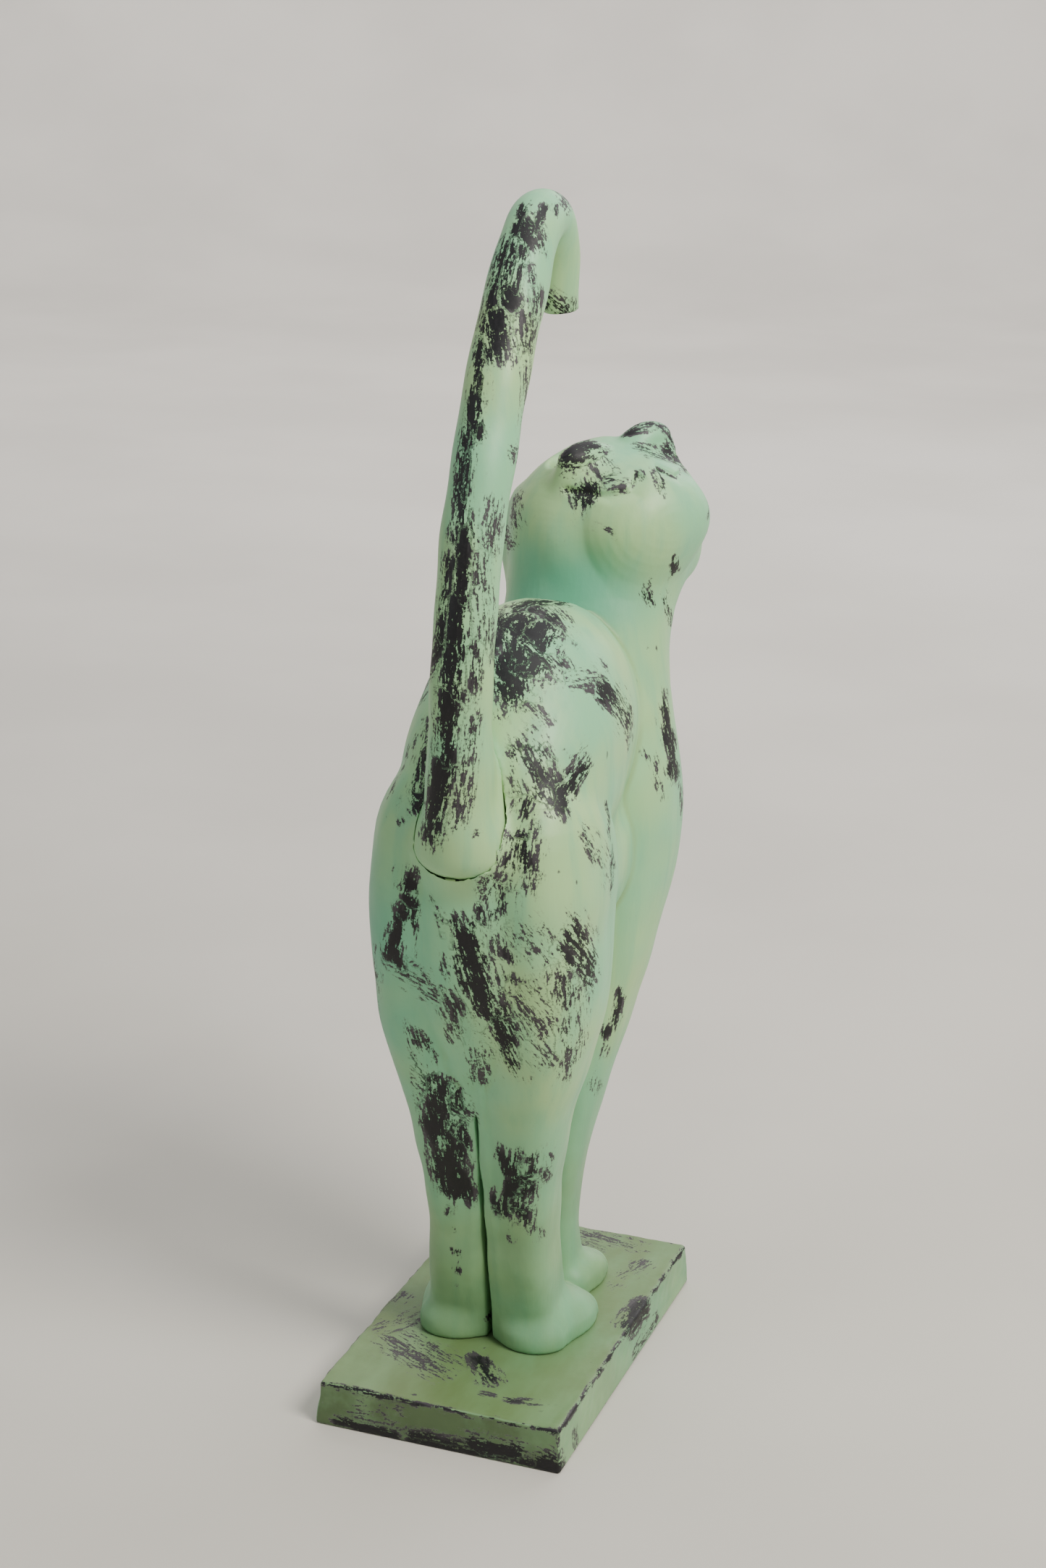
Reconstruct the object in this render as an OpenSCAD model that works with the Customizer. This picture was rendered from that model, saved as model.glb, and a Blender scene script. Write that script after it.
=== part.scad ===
// Carved and painted wooden cat standing on a plank plinth, tail up.
// The cat is drawn facing +Y on top of the plinth, then the whole
// model is turned half a turn so that the face looks towards -Y.

/* [Plinth] */
// Width of the plinth's top face
plinth_w = 105; // [95:1:120]
// Length of the plinth's top face
plinth_l = 174; // [174:1:200]
// Thickness of the plank
plinth_t = 19; // [16:1:25]
// How far each side leans outwards from top to bottom
edge_flare = 1.5; // [0.5:0.5:3]
// Hand-sanded rounding along the top edges
edge_round = 2.5; // [1:0.5:4]

/* [Carving] */
// Thickness of legs, torso and neck, as a factor
girth = 1; // [0.97:0.01:1.03]
// How far the head is turned to the cat's left, degrees
head_turn = 55; // [45:1:60]
// How far the head leans to the cat's left, degrees
head_tilt = 9; // [4:1:14]
// Diameter of the tail at mid height
tail_d = 24.5; // [22:0.5:26]
// Sides of each carved cross-section
carve_sides = 26; // [20:2:32]

/* [Joinery] */
// Diameter of the neck dowel
neck_dowel_d = 10; // [8:0.5:12]
// Length of the neck dowel
neck_dowel_l = 44; // [36:2:50]
// Diameter of the tail dowel
tail_dowel_d = 8; // [6:0.5:9]
// Length of the tail dowel
tail_dowel_l = 52; // [44:2:60]
// Glue clearance around each dowel
glue_gap = 0.1; // [0.05:0.05:0.2]

/* [Foot screws] */
// Thread diameter of the foot screws
screw_d = 4; // [3.5:0.5:4.5]
// Length of the foot screws
screw_l = 50; // [40:5:60]
// Head diameter of the foot screws
screw_head_d = 8; // [7:0.5:9]

/* [Hidden] */

paint = [0.60, 0.76, 0.63];
paint_shade = [0.50, 0.70, 0.60];
bare_wood = [0.78, 0.62, 0.42];
steel = [0.70, 0.70, 0.72];

// Cross-sections of the carving, bottom to top or back to front:
// [sideways, forward, height over the plinth, half width, half depth, squareness]
HIND_LEG = [
    [16, -14, 7, 14, 16, 2.8], [14.5, -20, 31, 13.5, 15, 2.8],
    [14.5, -25, 71, 13.5, 16, 2.8], [17.5, -29, 111, 17, 21, 2.6],
    [22.5, -30, 151, 22.5, 30, 2.4], [24.5, -29, 193, 23.5, 38, 2.3],
    [24, -29, 229, 22.5, 37, 2.2], [17, -21, 256, 16, 25, 2]];
HIND_PAW = [
    [18, -22, 2, 15, 13, 2.4], [18.5, -12, 4, 17, 16, 2.5],
    [20, 0, 2, 18, 15, 2.4], [20.5, 9, 0, 16, 11, 2.4]];
FORE_LEG = [
    [11, 30, 7, 10, 12, 2.4], [10, 29, 36, 9, 11.5, 2.4],
    [12, 34, 76, 11, 14, 2.4], [16, 45, 116, 15.5, 19, 2.3],
    [20.5, 55, 156, 20, 25, 2.2], [24, 63, 196, 23.5, 30, 2.1],
    [24.5, 66, 226, 22.5, 30, 2.1], [20, 66, 253, 19, 26, 2]];
FORE_PAW = [
    [14, 28, 2, 13, 12, 2.5], [15, 38, 2, 14, 12.5, 2.4],
    [15, 47, 1, 13, 9.5, 2.4]];
TORSO = [
    [0, -42, 224, 34, 29, 2.2], [0, -27, 239, 41, 41, 2.1],
    [0, -6, 252, 43, 52, 2.1], [0, 14, 258, 42, 56, 2.1],
    [0, 34, 254, 38, 51, 2.1], [0, 54, 245, 34, 43, 2.1]];
BELLY = [
    [0, -34, 175, 32, 30, 2.2], [0, 0, 200, 39, 36, 2.2],
    [0, 30, 203, 38, 36, 2.2], [0, 54, 203, 35, 30, 2.2]];
RUMP = [
    [0, -36, 143, 22, 21, 2.2], [0, -41, 171, 34, 25, 2.2],
    [0, -43, 201, 38, 27, 2.2], [0, -40, 226, 34, 27, 2.2]];
CHEST = [
    [0, 56, 196, 32, 32, 2.1], [0, 64, 226, 40, 36, 2.1],
    [1, 68, 256, 39, 34, 2.1], [1, 74, 286, 36, 32, 2],
    [2, 84, 311, 35.5, 32, 2], [3, 88, 328, 34.5, 31, 2]];
TAIL = [
    [-1, -61, 234, 17, 17, 2], [-1, -65, 251, 14.2, 14.5, 2],
    [-1, -66, 281, 12.4, 12.4, 2], [-1, -63, 321, 12.2, 12.2, 2],
    [-1, -53, 361, 12.2, 12.2, 2], [-1, -37, 399, 12.2, 12.2, 2],
    [-1, -16, 436, 12, 12, 2], [-1, 3, 461, 11.6, 11.6, 2],
    [-1, 20, 466, 10.6, 10.6, 2], [0, 31, 452, 9.2, 9.2, 2],
    [0, 35, 429, 8, 8, 2]];

// The head, about its own centre
HEAD_AT = [5, 93, 326];
SKULL = [
    [0, -26, 9, 30, 21, 2], [0, -14, 6, 40, 30, 2.1],
    [0, 4, 2, 43, 34, 2.1], [0, 18, -1, 38, 30, 2.1]];
CROWN = [
    [0, -20, 15, 27, 23, 2], [0, -4, 18, 33, 24, 2.1], [0, 10, 14, 30, 21, 2.1]];
CHEEK = [
    [24, -10, -10, 12, 14, 2.1], [27, 2, -13, 13, 18, 2.1],
    [23, 14, -15, 13, 16, 2.1]];
MUZZLE = [
    [0, 20, -13, 26, 20.5, 2.2], [0, 31, -15, 20.5, 17, 2.2],
    [0, 38, -16, 15, 12.5, 2.2]];
EAR = [
    [15.5, -8, 22, 15, 12, 2], [16.5, -9, 32, 14.5, 9.5, 2.1],
    [16.5, -10, 40, 12, 7, 2.1]];

// Where the neck is sawn square and doweled
NECK_CUT = [3, 79, 292];
neck_lean = 20;
// The tail dowel stands upright in the rump
TAIL_PEG = [-1, -60, 229];
// Foot screws: [sideways, forward]
SCREWS = [[17, -14], [-17, -14], [12.5, 35], [-12.5, 35]];

// Smooth curve through four section rows
function through(a, b, c, d, t) =
    0.5 * (2 * b + (c - a) * t + (2 * a - 5 * b + 4 * c - d) * t * t
    + (3 * b - a - 3 * c + d) * t * t * t);
function smooth(S, m) = let (n = len(S)) concat(
    [for (i = [0 : n - 2])
        let (p = i > 0 ? S[i - 1] : 2 * S[0] - S[1],
             q = i + 2 < n ? S[i + 2] : 2 * S[n - 1] - S[n - 2])
        for (j = [0 : m - 1]) through(p, S[i], S[i + 1], q, j / m)],
    [S[n - 1]]);
function pos(r) = [r[0], r[1], r[2]];
function unit(v) = v / norm(v);
function along(P, i) = unit(pos(P[min(i + 1, len(P) - 1)]) - pos(P[max(i - 1, 0)]));
function power(c, e) = sign(c) * pow(abs(c), 2 / e);
// One oval ring of points across direction t
function ring(c, t, a, b, e, sides) =
    let (n = unit(cross(t, [1, 0, 0])), x = unit(cross(n, t)))
    [for (k = [0 : sides - 1]) let (w = 360 * k / sides)
        c + a * power(cos(w), e) * x + b * power(sin(w), e) * n];
// Rings that close one end with a round cap
function cap(r, t, side, depth, grow, sides) =
    let (a = r[3] + grow, b = r[4] + grow, h = depth * min(a, b), k = 4)
    [for (i = [1 : k]) let (w = 90 * i / k, s = max(cos(w), 0.03))
        ring(pos(r) + side * h * sin(w) * t, t, a * s, b * s, r[5], sides)];
function turned(L) = [for (i = [len(L) - 1 : -1 : 0]) L[i]];

// A carved form drawn through a list of sections
module carved(S, steps = 3, sides = carve_sides, start = 1, end = 1, grow = 0, fat = 1) {
    P = smooth(S, steps);
    last = len(P) - 1;
    rings = concat(
        turned(cap([for (k = [0 : 5]) P[0][k] * (k == 3 || k == 4 ? fat : 1)], along(P, 0), -1, start, grow, sides)),
        [for (i = [0 : last]) ring(pos(P[i]), along(P, i), P[i][3] * fat + grow, P[i][4] * fat + grow, P[i][5], sides)],
        cap([for (k = [0 : 5]) P[last][k] * (k == 3 || k == 4 ? fat : 1)], along(P, last), 1, end, grow, sides));
    n = len(rings);
    pts = [for (r = rings) for (p = r) p];
    polyhedron(points = pts, faces = concat(
        [[for (k = [0 : sides - 1]) k]],
        [[for (k = [sides - 1 : -1 : 0]) (n - 1) * sides + k]],
        [for (i = [0 : n - 2]) for (k = [0 : sides - 1])
            let (p = i * sides + k, q = i * sides + (k + 1) % sides)
            each [[p, p + sides, q + sides], [p, q + sides, q]]]), convexity = 6);
}
module both_sides() {
    children();
    mirror([1, 0, 0]) children();
}
// Stand the cat on the plinth and face it towards -Y
module placed() {
    rotate([0, 0, 180]) translate([0, 0, plinth_t]) children();
}
module neck_frame() {
    translate(NECK_CUT) rotate([-neck_lean, 0, 0]) children();
}
module tail_form(grow = 0) {
    k = tail_d / 24.5;
    carved(TAIL, steps = 4, sides = 24, start = 0.6, end = 0.2, grow = grow, fat = k);
}

module plinth() {
    w = plinth_w / 2;
    l = plinth_l / 2;
    t = plinth_t;
    r = edge_round;
    f = edge_flare;
    function half(s) = concat(
        [[s + f - 1, 0], [s + f, 1]],
        [for (i = [0 : 4]) let (w = 22.5 * i) [s - r + r * cos(w), t - r + r * sin(w)]]);
    function full(s) = concat(half(s), [for (p = turned(half(s))) [-p[0], p[1]]]);
    color(paint_shade)
    rotate([0, 0, 180])
    difference() {
        intersection() {
            rotate([90, 0, 0]) linear_extrude(height = 2 * l + 20, center = true) polygon(full(w));
            rotate([90, 0, 90]) linear_extrude(height = 2 * w + 20, center = true) polygon(full(l));
        }
        for (s = SCREWS) translate([s[0], s[1], 0]) {
            translate([0, 0, -1]) cylinder(d = screw_d + 0.3, h = t + 2, $fn = 32);
            translate([0, 0, -1]) cylinder(d = screw_head_d + 0.4, h = 1.5, $fn = 32);
            translate([0, 0, 0.5]) cylinder(d1 = screw_head_d + 0.4, d2 = screw_d, h = 3.4, $fn = 32);
        }
    }
}

module body() {
    color(paint)
    placed()
    difference() {
        resize([0, 0, 0]) difference() {
            union() {
                both_sides() {
                    carved(HIND_LEG, fat = girth);
                    carved(HIND_PAW, steps = 2);
                    carved(FORE_LEG, fat = girth);
                    carved(FORE_PAW, steps = 2);
                }
                carved(TORSO, fat = girth, sides = carve_sides + 6, start = 0.7);
                carved(BELLY, fat = girth);
                carved(RUMP, fat = girth);
                carved(CHEST, fat = girth);
            }
            // paws stand flat on the plinth
            translate([-100, -150, -100]) cube([200, 300, 100]);
            // neck sawn square for the head
            neck_frame() translate([-80, -40, 0]) cube([160, 120, 120]);
            // seat for the root of the tail
            tail_form(grow = 0.2);
        }
        neck_frame() translate([0, 0, -neck_dowel_l / 2 - 1])
            cylinder(d = neck_dowel_d + 2 * glue_gap, h = neck_dowel_l, $fn = 40);
        translate(TAIL_PEG) translate([0, 0, -tail_dowel_l / 2 - 1])
            cylinder(d = tail_dowel_d + 2 * glue_gap, h = tail_dowel_l, $fn = 40);
        for (s = SCREWS) translate([s[0], s[1], -1])
            cylinder(d = screw_d + 0.1, h = screw_l - plinth_t + 3, $fn = 32);
    }
}

module head() {
    color(paint)
    placed()
    difference() {
        resize([0, 0, 0]) intersection() {
            union() {
                carved(CHEST, fat = girth);
                translate(HEAD_AT) rotate([0, -head_tilt, head_turn]) {
                    carved(SKULL, steps = 4, sides = carve_sides + 6);
                    carved(CROWN, steps = 4);
                    carved(MUZZLE);
                    both_sides() {
                        carved(CHEEK);
                        carved(EAR, sides = 22);
                    }
                    // nose pad
                    carved([[0, 45, -5, 7.5, 4.6, 2], [0, 48, -7, 5.5, 4, 2]], steps = 2, sides = 18);
                    // eye mounds
                    both_sides() carved([[17, 34, 6, 9, 6.5, 2], [18, 39, 5, 6, 4.5, 2]], steps = 2, sides = 18);
                }
            }
            neck_frame() translate([-80, -90, 0]) cube([160, 240, 120]);
        }
        neck_frame() translate([0, 0, -1])
            cylinder(d = neck_dowel_d + 2 * glue_gap, h = neck_dowel_l / 2 + 2, $fn = 40);
    }
}

module tail() {
    color(paint)
    placed()
    difference() {
        tail_form();
        translate(TAIL_PEG) translate([0, 0, -tail_dowel_l / 2 - 1])
            cylinder(d = tail_dowel_d + 2 * glue_gap, h = tail_dowel_l + 2, $fn = 40);
    }
}

// A dowel with its two ends chamfered
module dowel(d, l) {
    rotate_extrude($fn = 40) polygon([[0, -l / 2], [d / 2 - 0.8, -l / 2], [d / 2, -l / 2 + 0.8],
        [d / 2, l / 2 - 0.8], [d / 2 - 0.8, l / 2], [0, l / 2]]);
}
module neck_dowel() {
    color(bare_wood) placed() neck_frame() dowel(neck_dowel_d, neck_dowel_l);
}
module tail_dowel() {
    color(bare_wood) placed() translate(TAIL_PEG) dowel(tail_dowel_d, tail_dowel_l - 1);
}

module screw() {
    r = screw_d / 2;
    core = r - 0.6;
    pitch = 2;
    n = floor((screw_l - 18) / pitch);
    difference() {
        rotate_extrude($fn = 32) polygon(concat(
            [[0, 0], [screw_head_d / 2, 0], [screw_head_d / 2, 0.3], [r, 3], [r, 14]],
            [for (i = [0 : n - 1]) each [[core, 14 + pitch * i + 0.6], [core, 14 + pitch * i + 1.2], [r, 14 + pitch * (i + 1)]]],
            [[core, 14 + pitch * n + 0.6], [0, screw_l]]));
        for (a = [0, 90]) rotate([0, 0, a]) translate([-2.2, -0.5, -1]) cube([4.4, 1, 2.6]);
    }
}
module foot_screws() {
    color(steel)
    rotate([0, 0, 180])
    for (s = SCREWS) translate([s[0], s[1], 0.5]) screw();
}

plinth();
body();
head();
tail();
neck_dowel();
tail_dowel();
foot_screws();
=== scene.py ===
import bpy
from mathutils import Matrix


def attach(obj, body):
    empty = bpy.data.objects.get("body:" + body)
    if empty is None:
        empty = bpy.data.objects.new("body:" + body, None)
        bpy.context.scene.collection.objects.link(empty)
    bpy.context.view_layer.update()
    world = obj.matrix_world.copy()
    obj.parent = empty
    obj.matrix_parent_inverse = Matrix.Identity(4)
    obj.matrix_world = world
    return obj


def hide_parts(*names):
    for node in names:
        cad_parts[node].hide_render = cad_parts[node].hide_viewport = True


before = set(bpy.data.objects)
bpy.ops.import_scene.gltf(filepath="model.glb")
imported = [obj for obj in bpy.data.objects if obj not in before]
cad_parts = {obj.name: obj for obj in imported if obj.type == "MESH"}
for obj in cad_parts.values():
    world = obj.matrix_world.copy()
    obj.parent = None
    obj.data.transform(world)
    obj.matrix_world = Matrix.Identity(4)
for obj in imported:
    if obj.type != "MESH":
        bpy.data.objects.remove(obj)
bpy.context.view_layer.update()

import math
import bpy
import numpy as np
import openvdb as vdb
from mathutils import Matrix, Vector

# Everything below is sculpted in millimetres: s to the cat's right, v forward,
# z up from the table. The row frame is x = -s, y = -v, z, in metres.
TOP = 19.0

# ---------------------------------------------------------------- sections
# [sideways, forward, height over the plinth, half width, half depth, squareness]
HIND_LEG = [
    [16, -14, 7, 14, 16, 2.8], [14.5, -20, 31, 13.5, 15, 2.8],
    [14.5, -25, 71, 13.5, 16, 2.8], [17.5, -29, 111, 17, 21, 2.6],
    [22.5, -30, 151, 22.5, 30, 2.4], [24.5, -29, 193, 23.5, 38, 2.3],
    [24, -29, 229, 22.5, 37, 2.2], [17, -21, 256, 16, 25, 2]]
HIND_PAW = [
    [18, -22, 2, 15, 13, 2.4], [18.5, -12, 4, 17, 16, 2.5],
    [20, 0, 2, 18, 15, 2.4], [20.5, 9, 0, 16, 11, 2.4]]
FORE_LEG = [
    [11, 30, 7, 10, 12, 2.4], [10, 29, 36, 9, 11.5, 2.4],
    [12, 34, 76, 11, 14, 2.4], [16, 45, 116, 15.5, 19, 2.3],
    [20.5, 55, 156, 20, 25, 2.2], [24, 63, 196, 23.5, 30, 2.1],
    [24.5, 66, 226, 22.5, 30, 2.1], [20, 66, 253, 19, 26, 2]]
FORE_PAW = [
    [14, 28, 2, 13, 12, 2.5], [15, 38, 2, 14, 12.5, 2.4],
    [15, 47, 1, 13, 9.5, 2.4]]
TORSO = [
    [0, -42, 224, 34, 29, 2.2], [0, -27, 239, 41, 41, 2.1],
    [0, -6, 252, 43, 52, 2.1], [0, 14, 258, 42, 56, 2.1],
    [0, 34, 254, 38, 51, 2.1], [0, 54, 245, 34, 43, 2.1]]
BELLY = [
    [0, -34, 175, 32, 30, 2.2], [0, 0, 200, 39, 36, 2.2],
    [0, 30, 203, 38, 36, 2.2], [0, 54, 203, 35, 30, 2.2]]
RUMP = [
    [0, -36, 143, 22, 21, 2.2], [0, -41, 171, 34, 25, 2.2],
    [0, -43, 201, 38, 27, 2.2], [0, -40, 226, 34, 27, 2.2]]
CHEST = [
    [0, 56, 196, 32, 32, 2.1], [0, 64, 226, 40, 36, 2.1],
    [1, 68, 256, 39, 34, 2.1], [1, 74, 286, 36, 32, 2],
    [2, 84, 311, 35.5, 32, 2], [3, 88, 328, 34.5, 31, 2]]
TAIL = [
    [-1, -61, 234, 17, 17, 2], [-1, -65, 251, 14.2, 14.5, 2],
    [-1, -66, 281, 12.4, 12.4, 2], [-1, -63, 321, 12.2, 12.2, 2],
    [-1, -53, 361, 12.2, 12.2, 2], [-1, -37, 399, 12.2, 12.2, 2],
    [-1, -16, 436, 12, 12, 2], [-1, 3, 461, 11.6, 11.6, 2],
    [-1, 20, 466, 10.6, 10.6, 2], [0, 31, 452, 9.2, 9.2, 2],
    [0, 35, 429, 8, 8, 2]]
HEAD_AT = np.array([5, 93, 326.0 + TOP])
TURN, TILT = math.radians(55), math.radians(9)
SKULL = [
    [0, -26, 9, 30, 21, 2], [0, -14, 6, 40, 30, 2.1],
    [0, 4, 2, 43, 34, 2.1], [0, 18, -1, 38, 30, 2.1]]
CROWN = [
    [0, -20, 15, 27, 23, 2], [0, -4, 18, 33, 24, 2.1], [0, 10, 14, 30, 21, 2.1]]
CHEEK = [
    [24, -10, -10, 12, 14, 2.1], [27, 2, -13, 13, 18, 2.1],
    [23, 14, -15, 13, 16, 2.1]]
MUZZLE = [
    [0, 20, -13, 26, 20.5, 2.2], [0, 31, -15, 20.5, 17, 2.2],
    [0, 38, -16, 15, 12.5, 2.2]]
EAR = [
    [15.5, -8, 22, 15, 12, 2], [16.5, -9, 32, 14.5, 9.5, 2.1],
    [16.5, -10, 40, 12, 7, 2.1]]
NOSE = [[0, 45, -5, 7.5, 4.6, 2], [0, 49.5, -7, 5.5, 4, 2]]
NECK_CUT = np.array([3, 79, 292.0 + TOP])
NECK_UP = np.array([0, math.sin(math.radians(20)), math.cos(math.radians(20))])
SCREWS = [[17, -14], [-17, -14], [12.5, 35], [-12.5, 35]]

# ------------------------------------------------------------------- lofts
def spline(rows, m):
    S = np.array(rows, float)
    n, out = len(S), []
    for i in range(n - 1):
        a = S[i - 1] if i else 2 * S[0] - S[1]
        d = S[i + 2] if i + 2 < n else 2 * S[-1] - S[-2]
        b, c = S[i], S[i + 1]
        for j in range(m):
            t = j / m
            out.append(0.5 * (2 * b + (c - a) * t + (2 * a - 5 * b + 4 * c - d) * t * t
                              + (3 * b - a - 3 * c + d) * t ** 3))
    return np.array(out + [S[-1]])


def loft(rows, m=8, seg=72, start=1.0, end=1.0, lift=TOP, kc=9):
    P = spline(rows, m)
    P[:, 2] += lift
    T = np.gradient(P[:, :3], axis=0)
    T /= np.linalg.norm(T, axis=1)[:, None]
    N = np.cross(T, [1.0, 0, 0])
    N /= np.linalg.norm(N, axis=1)[:, None]
    th = np.arange(seg) * 2 * np.pi / seg
    ct, st = np.cos(th), np.sin(th)

    def ring(i, off, k):
        c, a, b, e = P[i, :3] + off, P[i, 3] * k, P[i, 4] * k, P[i, 5]
        x = np.sign(ct) * np.abs(ct) ** (2 / e) * a
        y = np.sign(st) * np.abs(st) ** (2 / e) * b
        X = np.cross(N[i], T[i])
        return c + x[:, None] * X + y[:, None] * N[i]

    def cap(i, side, depth):
        h = depth * min(P[i, 3], P[i, 4])
        ws = [q / kc * np.pi / 2 for q in range(1, kc + 1)]
        return [ring(i, side * T[i] * h * math.sin(w), max(math.cos(w), 0.02)) for w in ws]

    rings = cap(0, -1, start)[::-1] + [ring(i, 0, 1) for i in range(len(P))] + cap(len(P) - 1, 1, end)
    V = np.concatenate(rings)
    k, j = len(rings), np.arange(seg)
    jn = (j + 1) % seg
    F = []
    for i in range(k - 1):
        a, b = i * seg + j, i * seg + jn
        F += [np.stack([a, b, b + seg], 1), np.stack([a, b + seg, a + seg], 1)]
    V = np.vstack([V, rings[0].mean(0), rings[-1].mean(0)])
    F.append(np.stack([jn, j, np.full(seg, len(V) - 2)], 1))
    F.append(np.stack([(k - 1) * seg + j, (k - 1) * seg + jn, np.full(seg, len(V) - 1)], 1))
    return V, np.concatenate(F)


# ---------------------------------------------------------- distance fields
class Field:
    """A dense grid of signed distances in mm."""

    def __init__(self, lo, hi, h):
        self.h = h
        self.i0 = np.round(np.array(lo) / h).astype(int)
        self.n = np.round(np.array(hi) / h).astype(int) - self.i0 + 1
        self.xf = vdb.createLinearTransform(voxelSize=h)

    def axes(self):
        a = [(self.i0[k] + np.arange(self.n[k], dtype=np.float32)) * self.h for k in range(3)]
        return a[0][:, None, None], a[1][None, :, None], a[2][None, None, :]

    def of(self, mesh, band=11.0):
        V, F = mesh
        w = band / self.h
        g = vdb.FloatGrid.createLevelSetFromPolygons(
            np.ascontiguousarray(V, np.float32), triangles=np.ascontiguousarray(F, np.uint32),
            transform=self.xf, exBandWidth=w, inBandWidth=w)
        a = np.full(tuple(self.n), band, np.float32)
        g.copyToArray(a, ijk=tuple(int(q) for q in self.i0))
        return a

    def mesh(self, a):
        g = vdb.FloatGrid(float(a.max()))
        g.copyFromArray(np.ascontiguousarray(a, np.float32), ijk=tuple(int(q) for q in self.i0))
        g.transform = self.xf
        P, Q = g.convertToQuads(isovalue=0.0)
        return np.array(P, float), np.array(Q, np.int64)


def smin(a, b, k):
    h = np.clip(0.5 + 0.5 * (b - a) / k, 0, 1)
    return b + (a - b) * h - k * h * (1 - h)


def smax(a, b, k):
    return -smin(-a, -b, k)


def flip(a):
    return a[::-1]


# ------------------------------------------------------------ mesh utilities
def edges_of(Q):
    E = np.concatenate([Q[:, [0, 1]], Q[:, [1, 2]], Q[:, [2, 3]], Q[:, [3, 0]]])
    E.sort(axis=1)
    return np.unique(E, axis=0)


class Ring:
    """Averages over each point's neighbours."""

    def __init__(self, Q, n):
        E = edges_of(Q)
        self.a, self.b, self.n = E[:, 0], E[:, 1], n
        self.deg = np.maximum(np.bincount(self.a, minlength=n) + np.bincount(self.b, minlength=n), 1)

    def mean(self, X):
        X2 = X.reshape(self.n, -1)
        out = np.stack([np.bincount(self.a, X2[self.b, k], self.n) + np.bincount(self.b, X2[self.a, k], self.n)
                        for k in range(X2.shape[1])], 1) / self.deg[:, None]
        return out.reshape(X.shape)


def normals(P, Q):
    n = np.cross(P[Q[:, 2]] - P[Q[:, 0]], P[Q[:, 3]] - P[Q[:, 1]])
    out = np.zeros_like(P)
    for k in range(3):
        for c in range(4):
            out[:, k] += np.bincount(Q[:, c], n[:, k], len(P))
    return out / np.maximum(np.linalg.norm(out, axis=1), 1e-9)[:, None]


def volume(P, Q):
    a, b, c, d = (P[Q[:, k]] for k in range(4))
    return (np.einsum("ij,ij->i", a, np.cross(b, c)) + np.einsum("ij,ij->i", a, np.cross(c, d))).sum() / 6


def biggest(P, Q):
    """Keeps the largest connected shell and drops any speck."""
    lab = np.arange(len(P))
    E = edges_of(Q)
    while True:
        m = np.minimum(lab[E[:, 0]], lab[E[:, 1]])
        new = lab.copy()
        np.minimum.at(new, E[:, 0], m)
        np.minimum.at(new, E[:, 1], m)
        new = new[new]
        if (new == lab).all():
            break
        lab = new
    ids, cnt = np.unique(lab, return_counts=True)
    keep = lab == ids[cnt.argmax()]
    idx = np.cumsum(keep) - 1
    return P[keep], idx[Q[keep[Q].all(axis=1)]]


def waves(P, seed, lengths, amp):
    """A smooth, repeatable unevenness, as a carver's hand leaves it."""
    rng = np.random.default_rng(seed)
    out = np.zeros(len(P))
    for L in lengths:
        for _ in range(4):
            d = rng.normal(size=3)
            d /= np.linalg.norm(d)
            out += np.sin(P @ d * (2 * np.pi / L) + rng.uniform(0, 6.28)) * amp * math.sqrt(L / lengths[0]) / 3
    return out

# ------------------------------------------------------------------ carving
def finish_piece(P, Q, seed, amp=0.22, rounds=4, fade=None):
    if volume(P, Q) < 0:
        Q = Q[:, ::-1]
    P, Q = biggest(P, Q)
    R = Ring(Q, len(P))
    for _ in range(rounds):  # smooths without shrinking
        P = P + 0.5 * (R.mean(P) - P)
        P = P - 0.53 * (R.mean(P) - P)
    N = normals(P, Q)
    u = waves(P, 7, (17, 29, 47), amp)
    if fade is not None:
        u = u * fade(P)
    P = P + N * u[:, None]
    return P, Q, R


def nape(G):
    """Skull, cheeks, muzzle and neck run into each other."""
    a = smin(G.of(head_loft(SKULL)), G.of(head_loft(CROWN)), 8)
    a = smin(a, G.of(head_loft(MUZZLE)), 7)
    a = smin(a, G.of(loft(CHEST)), 15)
    for m in (False, True):
        a = smin(a, G.of(head_loft(CHEEK, mirror=m)), 6)
    return a


def neck_plane(s, v, z):
    return (s - NECK_CUT[0]) * NECK_UP[0] + (v - NECK_CUT[1]) * NECK_UP[1] + (z - NECK_CUT[2]) * NECK_UP[2]


def tail_field(h):
    return Field((-24, -88, 225), (24, 50, 504), h)


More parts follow.
